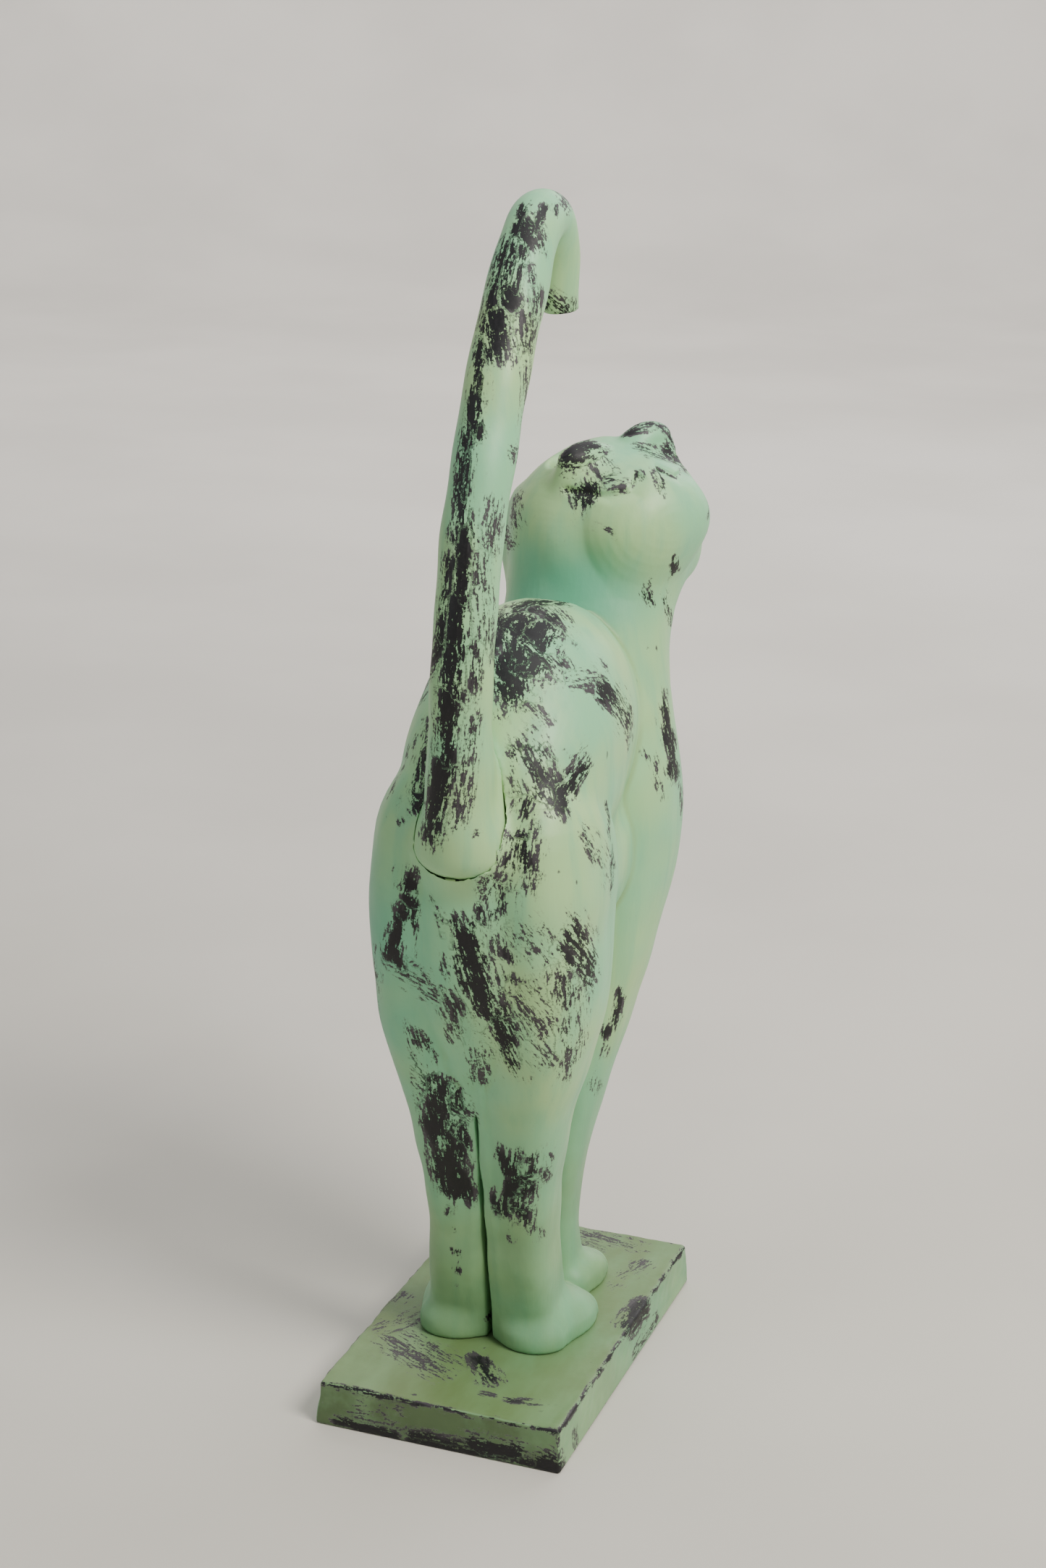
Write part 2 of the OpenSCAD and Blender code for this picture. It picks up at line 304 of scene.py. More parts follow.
def body_pieces(h):
    """The body, and the tail cut out of the same form so that the two meet."""
    G = Field((-56, -88, 15), (56, 112, 342), h)
    s, v, z = G.axes()
    hind = smin(G.of(loft(HIND_LEG)), G.of(loft(HIND_PAW)), 5)
    hind = smin(hind, flip(hind), 3)
    zo = z - TOP
    web = np.maximum(np.maximum(np.abs(s) - 2.6, -(v + 31 + (zo - 31) * 0.2)), np.maximum(v + 12 + 0 * s, zo - 138))
    hind = smin(hind, web.astype(np.float32), 8)
    fore = smin(G.of(loft(FORE_LEG)), G.of(loft(FORE_PAW)), 4)
    fore = smin(fore, flip(fore), 3)
    web = np.maximum(np.maximum(np.abs(s) - 2.0, np.abs(v - 30 - np.maximum(z - 70, 0) * 0.16) - 6), z - (TOP + 112))
    fore = smin(fore, web.astype(np.float32), 5)
    trunk = smin(G.of(loft(TORSO, start=0.7)), G.of(loft(BELLY)), 9)
    back = smin(smin(trunk, G.of(loft(RUMP)), 9), hind, 2.2)
    front = smin(nape(G), fore, 7)
    a = smin(back, front, 1.5)
    # boss that the tail grows out of
    tail = G.of(loft(TAIL, start=0.6, end=0.2))
    boss = (np.sqrt(((s + 1) / 20.0) ** 2 + ((v + 57) / 20.0) ** 2 + ((z - TOP - 232) / 19.0) ** 2) - 1) * 19.0
    a = smin(a, boss.astype(np.float32), 9)
    a = smin(a, tail, 6)
    # the tail is everything close to its own axis, above its seat
    mine = np.maximum(tail - 2.6, (TOP + 219) - z)
    T = tail_field(h)
    o = T.i0 - G.i0
    nz = G.n[2] - o[2]
    t = T.of(loft(TAIL, m=12, seg=96, start=0.6, end=0.14), band=6.0)
    cell = (slice(o[0], o[0] + T.n[0]), slice(o[1], o[1] + T.n[1]), slice(o[2], G.n[2]))
    both = smax(a[cell], mine[cell] + 0.04, 0.18)
    keep = slice(0, nz - 14)
    t[:, :, keep] = both[:, :, keep]
    # kerfs sawn between the left and right legs
    kerf = smax(np.abs(s) - (1.15 - 0.0055 * (z - TOP)) + 0 * v, (z - (TOP + 112)) + 0 * s + 0 * v, 0.6)
    a = smax(a, -kerf, 0.7)
    # the cat stands flat on the plank
    a = smax(a, (TOP - z) + 0 * a, 0.8)
    # roughly topped here, sawn square at the neck later
    a = np.maximum(a, neck_plane(s, v, z) - 5.0 + 0 * a)
    a = smax(a, 0.04 - mine, 0.18)
    # dowel holes and pilot holes
    p = np.stack(np.broadcast_arrays(s, v, z), -1).astype(np.float32) - NECK_CUT.astype(np.float32)
    up = p @ NECK_UP.astype(np.float32)
    rad = np.sqrt(np.maximum((p * p).sum(-1) - up * up, 0))
    a = np.maximum(a, -np.maximum(rad - 5.1, -23.5 - up))
    del p, up
    rad = np.sqrt((s + 1) ** 2 + (v + 60) ** 2)
    a = np.maximum(a, -np.maximum(rad - 4.1, (TOP + 229 - 27) - z + 0 * rad))
    for x, y in SCREWS:
        rad = np.sqrt((s - x) ** 2 + (v - y) ** 2)
        a = np.maximum(a, -np.maximum(rad - 2.05, z - 53.0 + 0 * rad))
    s, v, z = T.axes()
    rad = np.sqrt((s + 1) ** 2 + (v + 60) ** 2)
    t = np.maximum(t, -np.maximum(rad - 4.1, z - (TOP + 229 + 26) + 0 * rad))
    fade = lambda P: np.clip((P[:, 2] - TOP - 1) / 6, 0, 1)
    return finish_piece(*G.mesh(a), 3, fade=fade), finish_piece(*T.mesh(t), 3, fade=fade)


def head_local(p):
    cz, sz, ct, st = math.cos(TURN), math.sin(TURN), math.cos(-TILT), math.sin(-TILT)
    Rz = np.array([[cz, -sz, 0], [sz, cz, 0], [0, 0, 1]])
    Ry = np.array([[ct, 0, st], [0, 1, 0], [-st, 0, ct]])
    return Rz @ Ry


HEAD_M = head_local(None)


def head_loft(rows, shift=0.0, mirror=False, **kw):
    V, F = loft(rows, lift=0.0, **kw)
    if mirror:
        V = V * [-1, 1, 1]
        F = F[:, ::-1]
    V = V + [shift, 0, 0]
    return V @ HEAD_M.T + HEAD_AT, F


def almond(x, y, cx, cy, rx, ry, tilt):
    """A lens with pointed corners: local coordinates, level, distance in mm."""
    c, s_ = math.cos(tilt), math.sin(tilt)
    dx, dy = x - cx, y - cy
    u, q = (dx * c + dy * s_) / rx, (-dx * s_ + dy * c) / ry
    e = u * u + np.abs(q)
    return u, q, e, (e - 1) / np.sqrt((2 * u / rx) ** 2 + 1 / ry ** 2)


def groove(x, y, pts):
    """Distance in the frontal plane to a polyline."""
    d = np.full(x.shape, 1e3, np.float32)
    for (ax, ay), (bx, by) in zip(pts[:-1], pts[1:]):
        ex, ey = bx - ax, by - ay
        t = np.clip(((x - ax) * ex + (y - ay) * ey) / (ex * ex + ey * ey), 0, 1)
        d = np.minimum(d, np.sqrt((x - ax - t * ex) ** 2 + (y - ay - t * ey) ** 2))
    return d


EAR_SHIFT = 0.0


def head_piece(h):
    G = Field((-52, 36, 290), (62, 150, 402), h)
    s, v, z = G.axes()
    q = np.stack(np.broadcast_arrays(s, v, z), -1).astype(np.float32) - HEAD_AT.astype(np.float32)
    q = q @ HEAD_M.astype(np.float32)
    x, y, w = q[..., 0], q[..., 1], q[..., 2]
    a = nape(G)
    for m in (False, True):
        a = smin(a, G.of(head_loft(EAR, shift=EAR_SHIFT, mirror=m)), 4.0)
    for sx in (-1, 1):
        cx = 16.5 * sx + EAR_SHIFT
        # the scooped front of the ear
        cup = (np.sqrt(((x - cx) / 8.8) ** 2 + ((y - 3.0) / 9.0) ** 2 + ((w - 40.5) / 9.5) ** 2) - 1) * 8.8
        a = smax(a, -cup, 2.2)
        # the cut at the back of its root
        g = groove(x, w, [(cx - 11 * sx, 33.0), (cx - 5 * sx, 28.5), (cx + 4 * sx, 27.5), (cx + 12 * sx, 30.0)])
        a = a + 1.5 * np.exp(-(g / 1.7) ** 2) * np.clip((-y - 7) / 5, 0, 1)
    nose = G.of(head_loft(NOSE, m=6, seg=48))
    a = smin(a, nose, 1.6)
    # carved lines and small forms of the face
    face = np.clip((y - 12) / 12, 0, 1)
    relief = np.zeros(x.shape, np.float32)
    for sx in (1, -1):
        X = x * sx
        u, q_, e, d = almond(X, w, 18.0, 6.5, 10.4, 6.4, 0.24)
        relief -= 2.3 * np.clip(1 - u * u - q_ * q_, 0, 1) ** 0.6 * (e < 1)       # eyeball
        relief += 1.35 * np.exp(-(d / 0.85) ** 2)                                 # lid line
        relief -= 1.1 * np.exp(-((d - 2.1) / 1.1) ** 2) * np.clip(0.45 + (w - 5) / 10, 0.2, 1)
        relief -= 1.3 * np.exp(-((X - 19) / 11) ** 2 - ((w - 17.5 - 0.12 * X) / 4.0) ** 2)  # brow
        relief += 1.0 * np.exp(-(groove(X, w, [(18.0, 10.6), (18.0, 2.6)]) / 0.85) ** 2)    # slit pupil
        relief += 1.2 * np.exp(-(groove(X, w, [(0.3, -15.0), (1.8, -18.6), (5.8, -21.4), (10.6, -20.4), (14.4, -17.0)]) / 0.85) ** 2)
        for px, pw in ((8.5, -11.8), (12.2, -13.2), (9.6, -16.0)):
            relief += 0.8 * np.exp(-(((X - px) ** 2 + (w - pw) ** 2) / 0.8 ** 2))
        relief += 0.9 * np.exp(-(((X - 3.0) / 1.3) ** 2 + ((w + 8.2) / 0.9) ** 2))  # nostril
    relief += 1.2 * np.exp(-(groove(x, w, [(0, -10.5), (0, -15.4)]) / 0.8) ** 2)
    a = a + relief * face
    # rear edge of the right cheek, the one that stands clear of the shoulder
    g = groove(y, w, [(-20.0, -6.0), (-17.5, -17.0), (-14.0, -28.0), (-8.0, -36.0)])
    a = a + 2.2 * np.exp(-(g / 1.5) ** 2) * np.clip((x - 10) / 8, 0, 1)
    a = np.maximum(a, -5.0 - neck_plane(s, v, z) + 0 * a)
    p = np.stack(np.broadcast_arrays(s, v, z), -1).astype(np.float32) - NECK_CUT.astype(np.float32)
    up = p @ NECK_UP.astype(np.float32)
    rad = np.sqrt(np.maximum((p * p).sum(-1) - up * up, 0))
    a = np.maximum(a, -np.maximum(rad - 5.1, up - 22.5))
    P, Q = G.mesh(a)
    return finish_piece(P, Q, 3, rounds=3)


def plinth_piece(h):
    G = Field((-58, -92, -3), (58, 92, 23), h)
    s, v, z = G.axes()
    r = 1.3
    t = 1.5 * (1 - z / TOP)
    qx = np.abs(s) - (52.5 + t - r) + 0 * v
    qy = np.abs(v) - (87.0 + t - r) + 0 * s
    qz = np.abs(z - TOP / 2) - (TOP / 2 - r)
    out = np.sqrt(np.maximum(qx, 0) ** 2 + np.maximum(qy, 0) ** 2 + np.maximum(qz, 0) ** 2)
    a = (out + np.minimum(np.maximum(np.maximum(qx, qy), qz), 0) - r).astype(np.float32)
    for x, y in SCREWS:
        rad = np.sqrt((s - x) ** 2 + (v - y) ** 2)
        a = np.maximum(a, -(rad - 2.15 + 0 * z))
        a = np.maximum(a, -np.maximum(rad - 4.2, z - 0.5 + 0 * rad))
        a = np.maximum(a, -((rad - 4.2 + 0.647 * np.maximum(z - 0.5, 0)) * 0.84 + 0 * z))
    P, Q = G.mesh(np.minimum(a, 4.0))
    if volume(P, Q) < 0:
        Q = Q[:, ::-1]
    P, Q = biggest(P, Q)
    R = Ring(Q, len(P))
    for _ in range(2):
        P = P + 0.5 * (R.mean(P) - P)
        P = P - 0.53 * (R.mean(P) - P)
    # knocks along the edges and a slightly uneven top, the underside stays flat
    N = normals(P, Q)
    edge = np.clip(1 - np.abs(np.abs(P[:, 0]) - 52.5) / 5, 0, 1) + np.clip(1 - np.abs(np.abs(P[:, 1]) - 87) / 5, 0, 1)
    up = np.clip((P[:, 2] - 2) / 6, 0, 1)
    u = waves(P, 11, (6, 11, 23), 0.13) * np.clip(edge, 0, 1) * up + waves(P, 5, (30, 55), 0.1) * np.clip((P[:, 2] - 2) / 8, 0, 1) * np.clip(edge, 0, 1)
    P = P + N * u[:, None]
    return P, Q, R

# --------------------------------------------------------------- worn paint
# Where the paint was rubbed through: strokes from one point to another (mm, row
# frame), with a half width and a strength from 0 to 1.
WORN_PLINTH = [
    (33.8, 45.2, 19.0, 11.7, 57.0, 19.0, 7.6, 0.5), (-2.9, 46.0, 19.0, -12.2, 59.2, 19.0, 3.6, 0.75),
    (-26.1, 71.7, 19.0, -37.1, 69.9, 19.0, 1.6, 0.7), (-14.4, 71.5, 19.0, -17.8, 71.8, 19.0, 1.3, 0.5),
    (-51.7, -6.6, 18.3, -52.4, -26.1, 16.9, 3.7, 0.95), (-47.3, 88.3, 2.8, -53.1, 88.5, 1.1, 4.4, 1.1),
    (11.3, 87.9, 0.4, -17.8, 88.5, 1.5, 2.3, 1), (-17.6, 88.1, 5.1, -34.1, 88.1, 5.3, 3.8, 1),
    (31.3, 87.7, 9.0, 16.1, 87.7, 9.7, 4.5, 0.45), (-53.3, 68.5, 8.3, -54.0, 68.3, 1.2, 2.1, 0.45),
    (51.5, 18.8, 18.4, 48.5, 5.7, 19.0, 2.7, 0.45), (-11.9, -71.4, 19.0, -16.3, -69.2, 19.0, 3.5, 0.35),
]
WORN_BODY = [
    (21.0, 67.3, 240.0, 24.8, 67.7, 224.5, 2.3, 1), (24.8, 67.7, 224.5, 28.7, 64.9, 199.4, 3.1, 1),
    (27.2, 64.4, 195.2, 15.8, 64.6, 192.8, 3.9, 0.6), (32.2, 43.0, 278.9, 36.4, 53.0, 263.6, 2.1, 0.55),
    (-2.0, 69.6, 216.7, -11.9, 63.8, 184.2, 5.4, 1), (-11.9, 63.8, 184.2, -20.6, 58.0, 162.2, 4.4, 0.95),
    (-17.6, 66.9, 212.6, -20.4, 64.7, 197.0, 3.1, 0.7), (-24.2, 63.3, 188.7, -33.7, 58.4, 174.4, 7.8, 0.52),
    (-42.8, 55.9, 216.5, -46.1, 44.7, 203.3, 5.9, 0.95), (-40.8, 56.9, 200.0, -41.2, 47.7, 165.7, 5.9, 0.62),
    (-21.9, 47.1, 288.0, -33.1, 50.9, 270.4, 4.3, 0.95), (-32.3, 48.9, 272.4, -36.7, 33.0, 281.8, 3.6, 1),
    (-24.8, 57.7, 268.7, -23.1, 62.0, 260.5, 2.8, 0.75), (-23.1, 63.6, 256.9, -22.4, 66.7, 244.4, 5.1, 0.8),
    (-14.4, 66.7, 237.9, -14.4, 68.1, 226.2, 4.3, 0.7), (-7.2, 69.0, 229.5, -8.1, 69.4, 221.6, 1.8, 0.7),
    (-44.1, 42.6, 254.5, -48.0, 28.4, 235.5, 4.1, 0.6), (-42.1, 19.1, 262.1, -47.9, 23.2, 228.2, 1.7, 0.95),
    (21.6, 58.8, 165.6, 16.2, 54.0, 145.9, 3.2, 0.7), (18.0, 53.2, 142.3, 6.5, 47.5, 133.2, 5.4, 0.8),
    (-4.6, 58.4, 164.0, -5.4, 52.8, 150.4, 3.4, 0.45), (-33.5, -36.8, 161.5, -30.7, -35.9, 140.1, 2.5, 0.95),
    (-28.2, -32.9, 131.7, -24.6, -29.4, 112.5, 1.7, 0.5), (11.9, 67.9, 233.3, 8.7, 68.9, 227.2, 1.2, 0.6),
    (-7.2, 67.6, 239.9, -7.5, 67.6, 239.4, 1.1, 0.6), (7.0, 69.5, 219.5, 7.1, 69.2, 213.8, 0.8, 0.6),
    (-27.9, 67.5, 221.1, -34.9, 63.9, 209.9, 5.6, 0.4), (4.1, 65.6, 186.6, 1.1, 62.2, 174.5, 3.4, 0.7),
    (21.1, 65.5, 202.1, 35.9, 60.6, 192.5, 1.6, 0.5), (26.2, 61.2, 262.2, 25.8, 61.5, 261.8, 0.8, 0.7),
    (-15.3, 48.5, 291.3, -15.8, 49.0, 290.4, 0.8, 0.8), (23.4, 44.6, 290.2, 20.1, 57.5, 268.6, 3.4, 0.85),
    (20.1, 57.5, 268.6, 9.8, 75.9, 262.0, 3.3, 1), (7.8, 1.3, 329.9, -9.0, 35.5, 310.3, 6.9, 1),
    (0.2, -10.5, 332.8, -13.0, -1.4, 328.7, 5.9, 0.8), (-8.5, 18.5, 323.4, -16.5, 21.4, 318.3, 5.2, 1),
    (-11.3, 36.7, 308.2, -18.1, 38.2, 302.7, 3.9, 0.5), (5.2, 2.8, 329.9, -9.0, 34.8, 310.9, 6.6, 1),
    (1.0, -6.7, 332.0, -6.9, -22.1, 331.0, 4.5, 0.95), (-12.3, 8.6, 326.3, -13.0, 27.0, 316.1, 5.5, 1),
    (-36.1, 1.8, 305.6, -41.3, -11.4, 289.0, 6.0, 0.9), (-28.3, 15.8, 311.6, -33.2, 5.9, 309.0, 4.2, 0.5),
    (-21.3, 48.4, 286.7, -27.8, 50.6, 274.7, 5.4, 0.95), (-38.5, -62.0, 282.5, -45.7, -64.4, 252.1, 3.3, 1),
    (-39.3, -48.8, 260.1, -42.3, -49.5, 251.6, 2.8, 0.4), (-33.5, -60.3, 307.0, -33.9, -61.1, 306.3, 1.2, 0.4),
    (18.9, 56.1, 153.9, 15.9, 52.9, 141.3, 3.1, 0.7), (13.7, 52.1, 139.7, 12.6, 42.5, 96.4, 5.3, 1.05),
    (6.4, 48.4, 139.4, 5.9, 44.6, 119.2, 2.5, 0.9), (10.9, 38.7, 75.8, 13.3, 37.7, 67.8, 1.1, 0.8),
    (11.9, 36.6, 60.5, 12.9, 34.6, 46.8, 1.0, 0.8), (15.1, 41.2, 90.1, 16.3, 40.2, 84.2, 1.1, 0.7),
    (-15.7, 47.2, 117.3, -11.7, 40.5, 86.1, 2.8, 1), (-24.2, 45.4, 114.7, -18.3, 40.2, 85.5, 2.8, 0.85),
    (-15.4, 44.5, 105.5, -24.1, 43.3, 106.9, 1.6, 0.95), (-10.8, 42.1, 95.3, -22.0, 41.6, 96.3, 1.3, 0.9),
    (-8.9, 39.7, 84.3, -20.0, 40.1, 86.6, 1.4, 0.9), (-28.1, 39.7, 107.7, -28.1, 38.7, 105.6, 2.5, 0.7),
    (-24.0, 37.4, 83.5, -24.0, 36.0, 75.9, 1.9, 0.5), (-10.6, 39.3, 80.1, -10.3, 38.5, 75.3, 1.4, 0.6),
    (-6.7, 39.7, 90.0, -6.4, 39.0, 86.1, 1.3, 0.5), (-28.8, -33.6, 134.7, -23.0, -27.3, 105.9, 1.6, 0.6),
    (2.7, 22.5, 26.5, 2.3, 16.5, 19.0, 1.7, 0.7),
]
WORN_HEAD = [
    (37.7, -80.0, 343.3, -10.8, 56.9, 354.7, 2.8, 0.6), (1.6, -61.3, 386.0, -4.3, -69.1, 388.2, 5.2, 0.9),
    (-6.0, -64.8, 380.5, -11.5, -61.7, 374.5, 3.3, 0.6), (-3.9, -59.1, 369.1, -6.1, -57.4, 363.5, 3.6, 1),
    (-12.0, -60.5, 373.0, -20.4, -60.8, 374.1, 1.5, 0.8), (-13.6, -90.1, 391.4, -22.9, -96.2, 393.6, 2.2, 0.95),
    (-22.9, -96.2, 393.6, -28.7, -102.1, 385.8, 2.0, 0.9), (-29.0, -102.6, 384.8, -30.3, -110.9, 372.7, 1.7, 0.9),
    (-22.6, -84.4, 384.0, -29.3, -88.6, 381.0, 3.1, 0.75), (-29.4, -95.6, 379.8, -30.8, -105.8, 373.2, 3.7, 1),
    (-32.9, -71.6, 376.6, -35.6, -67.4, 371.1, 1.7, 0.8), (-25.6, -66.5, 377.6, -26.1, -65.9, 377.2, 1.4, 0.7),
    (-41.1, -67.3, 344.1, -36.6, -76.8, 327.5, 1.0, 1), (-35.8, -72.5, 324.1, -36.3, -80.9, 311.0, 2.1, 1),
    (-28.4, -62.3, 332.7, -31.1, -63.5, 325.6, 1.9, 0.85), (-13.9, -51.6, 357.3, -18.5, -50.9, 356.4, 1.6, 0.45),
    (-47.5, -90.6, 361.8, -49.0, -86.9, 359.1, 1.3, 0.55),
]
WORN_TAIL = [
    (0.1, 66.9, 376.0, -0.7, 72.9, 352.1, 2.7, 1), (0.3, 73.1, 352.0, 0.2, 77.4, 317.3, 3.7, 1),
    (0.9, 77.5, 317.3, 2.8, 78.8, 288.9, 3.5, 1), (3.1, 78.7, 288.8, 8.0, 77.1, 261.3, 3.8, 1),
    (4.6, 69.2, 365.9, 6.2, 74.7, 335.3, 3.2, 0.8), (6.2, 74.7, 335.3, 23.4, 44.6, 290.2, 4.2, 0.8),
    (-7.1, 67.1, 364.1, -9.7, 69.4, 335.7, 5.4, 0.6), (-7.4, 74.6, 307.2, -2.8, 78.7, 265.9, 2.7, 0.6),
    (-7.8, 72.3, 333.6, -7.6, 73.7, 321.1, 3.7, 0.7), (13.4, 72.1, 258.4, -9.4, 74.7, 262.2, 0.9, 0.8),
    (3.0, 0.4, 491.2, 2.3, 10.6, 482.6, 1.7, 1), (-4.7, -2.6, 491.6, -5.0, 7.1, 484.0, 1.0, 1),
    (-1.5, 8.4, 484.6, -4.6, 10.7, 480.5, 3.9, 1), (2.2, 12.2, 480.7, 0.7, 26.2, 461.2, 1.4, 1),
    (-2.3, 14.2, 477.7, -3.3, 25.1, 461.3, 1.4, 1), (-1.1, 25.9, 461.3, -2.5, 27.0, 459.1, 3.3, 1),
    (6.1, 12.6, 478.5, 6.2, 30.6, 451.9, 3.7, 0.82), (4.0, 31.5, 452.1, -0.6, 37.5, 442.3, 4.7, 1),
    (6.3, 36.6, 441.7, 2.1, 52.1, 414.3, 2.8, 1), (5.0, 51.6, 414.0, 1.7, 67.0, 375.8, 2.7, 0.9),
    (3.2, 43.2, 432.0, 2.1, 62.7, 388.7, 1.0, 1), (-7.8, 26.1, 454.2, -9.6, 29.8, 443.3, 3.6, 0.65),
    (-9.8, 19.0, 459.7, -10.9, 26.0, 441.5, 2.5, 0.65), (-10.6, 29.7, 439.2, -10.8, 36.6, 412.4, 2.5, 0.55),
    (-11.2, 43.6, 404.3, 36.6, -78.6, 343.7, 3.0, 0.6), (-9.3, 58.2, 384.7, -9.5, 62.1, 371.7, 3.3, 0.55),
    (-6.6, 16.8, 470.1, -8.1, 18.6, 465.0, 1.0, 0.7), (-4.4, -22.3, 493.8, -6.5, -21.4, 492.3, 2.3, 0.9),
    (-7.3, -7.4, 491.0, -8.7, -4.7, 488.3, 1.0, 0.8), (0.7, -26.5, 450.7, -4.0, -28.9, 446.6, 3.2, 1),
    (-7.8, -32.6, 449.9, -7.0, -32.7, 447.1, 1.9, 0.7), (0.4, 52.2, 414.4, -0.3, 53.2, 411.9, 1.5, 1),
    (-1.7, 64.2, 383.8, -4.1, 66.9, 372.2, 1.2, 0.7), (-6.2, 33.0, 445.5, -7.6, 33.7, 442.3, 1.0, 0.7),
]
# the sides that face away from the strokes above carry the same kind of wear
MORE_BODY = [
    (38.0, -20.0, 268.0, 44.0, -34.0, 246.0, 6.5, 0.9), (43.0, -12.0, 256.0, 46.0, 6.0, 262.0, 4.0, 0.6),
    (45.0, 44.0, 232.0, 47.0, 34.0, 206.0, 6.0, 0.9), (47.0, 22.0, 226.0, 47.5, 26.0, 198.0, 4.2, 0.6),
    (44.0, 52.0, 196.0, 43.0, 40.0, 176.0, 6.5, 0.7), (36.0, 30.0, 150.0, 33.0, 34.0, 122.0, 3.6, 0.9),
    (44.0, -70.0, 246.0, 46.0, -62.0, 222.0, 4.6, 0.95), (40.0, -62.0, 200.0, 37.0, -58.0, 176.0, 4.2, 0.6),
    (32.0, -52.0, 146.0, 26.0, -46.0, 120.0, 3.2, 0.8), (20.0, -36.0, 96.0, 20.0, -32.0, 64.0, 2.6, 0.7),
    (27.0, 14.0, 92.0, 27.0, 10.0, 60.0, 3.2, 0.85), (12.0, -97.0, 262.0, -6.0, -103.0, 250.0, 6.0, 0.9),
    (-8.0, -98.0, 276.0, -14.0, -100.0, 262.0, 4.4, 0.6), (20.0, -94.0, 236.0, 26.0, -88.0, 214.0, 4.6, 0.8),
    (-26.0, -92.0, 224.0, -22.0, -84.0, 196.0, 4.2, 0.85), (-16.0, -62.0, 142.0, -14.0, -50.0, 104.0, 3.2, 0.9),
    (14.0, -60.0, 134.0, 12.0, -50.0, 112.0, 3.0, 0.6), (-12.0, -42.0, 76.0, -12.0, -40.0, 52.0, 2.6, 0.7),
    (12.0, -44.0, 86.0, 12.0, -42.0, 66.0, 2.2, 0.6), (-40.0, -80.0, 256.0, -43.0, -72.0, 236.0, 3.6, 0.6),
    (8.0, 6.0, 325.0, 24.0, -8.0, 316.0, 6.5, 0.9), (20.0, 20.0, 316.0, 32.0, 22.0, 304.0, 4.5, 0.6),
    (28.0, -30.0, 300.0, 36.0, -30.0, 288.0, 3.6, 0.85), (15.0, -54.0, 27.0, 19.0, -48.0, 29.0, 2.2, 0.6),
    (-20.0, -6.0, 36.0, -24.0, -10.0, 30.0, 2.0, 0.5), (22.0, -8.0, 37.0, 26.0, -6.0, 31.0, 2.2, 0.7)]
# about the head's own centre: sideways, towards the nose, up
LOCAL_HEAD = [
    (-32.0, 30.0, -10.0, -28.0, 36.0, -18.0, 3.0, 0.75), (34.0, 26.0, -6.0, 36.0, 16.0, -16.0, 4.0, 0.85),
    (-4.0, 36.0, 26.0, 4.0, 26.0, 34.0, 3.6, 0.8), (-38.0, 8.0, 16.0, -34.0, 20.0, 22.0, 3.6, 0.65),
    (2.0, 10.0, 40.0, -8.0, 2.0, 42.0, 3.4, 0.7), (30.0, 20.0, 24.0, 24.0, 28.0, 24.0, 3.0, 0.55),
    (-14.0, 40.0, -32.0, -4.0, 44.0, -30.0, 3.0, 0.6), (20.0, 40.0, -10.0, 24.0, 36.0, -20.0, 2.4, 0.5)]
MORE_HEAD = []
for a, b, c, d, e, f, r, k in LOCAL_HEAD:
    A, B = HEAD_M @ [a, b, c] + HEAD_AT, HEAD_M @ [d, e, f] + HEAD_AT
    MORE_HEAD.append((-A[0], -A[1], A[2], -B[0], -B[1], B[2], r, k))
MORE_TAIL = [
    (14.0, 66.0, 300.0, 13.0, 58.0, 350.0, 3.2, 0.9), (12.0, 44.0, 392.0, 10.0, 22.0, 430.0, 3.0, 0.85),
    (6.0, 50.0, 300.0, 4.0, 44.0, 340.0, 3.6, 0.55), (3.0, 24.0, 398.0, 2.0, 14.0, 418.0, 3.2, 0.8),
    (8.0, -30.0, 470.0, 6.0, -38.0, 456.0, 2.6, 0.8), (-8.0, -16.0, 492.0, 2.0, -22.0, 493.0, 2.8, 0.7)]
MORE_PLINTH = [
    (40.0, -70.0, 19.0, 48.0, -80.0, 19.0, 5.0, 0.7), (-30.0, -76.0, 19.0, -10.0, -80.0, 19.0, 5.5, 0.55),
    (36.0, 20.0, 19.0, 44.0, 34.0, 19.0, 4.5, 0.5), (53.0, -60.0, 9.0, 53.5, -20.0, 5.0, 3.5, 0.85),
    (53.0, 30.0, 10.0, 53.0, 60.0, 12.0, 3.0, 0.6), (30.0, -88.0, 8.0, -6.0, -88.5, 6.0, 3.6, 0.85),
    (-34.0, -88.0, 11.0, -46.0, -88.0, 13.0, 3.0, 0.7), (-53.0, -40.0, 5.0, -53.5, -10.0, 4.0, 2.2, 0.7),
    (-40.0, -60.0, 19.0, -34.0, -40.0, 19.0, 4.0, 0.4),
    (53.0, 88.0, 18.4, -53.0, 88.0, 18.4, 0.95, 1.0), (-53.0, 88.0, 18.4, -53.0, -88.0, 18.4, 0.7, 0.9),
    (53.0, 88.0, 18.6, 53.0, -88.0, 18.6, 0.4, 0.75), (53.0, -88.0, 18.6, -53.0, -88.0, 18.6, 0.4, 0.85),
    (-53.2, 88.0, 18.0, -54.0, 88.6, 2.0, 0.8, 1.0), (53.2, 88.0, 18.0, 54.0, 88.6, 2.0, 0.5, 0.9),
    (44.0, 88.5, 3.0, 18.0, 88.5, 2.0, 1.6, 0.95), (10.0, 88.5, 3.5, -50.0, 88.5, 2.5, 2.0, 0.9)]


def smoothstep(a, b, x):
    t = np.clip((x - a) / (b - a), 0, 1)
    return t * t * (3 - 2 * t)


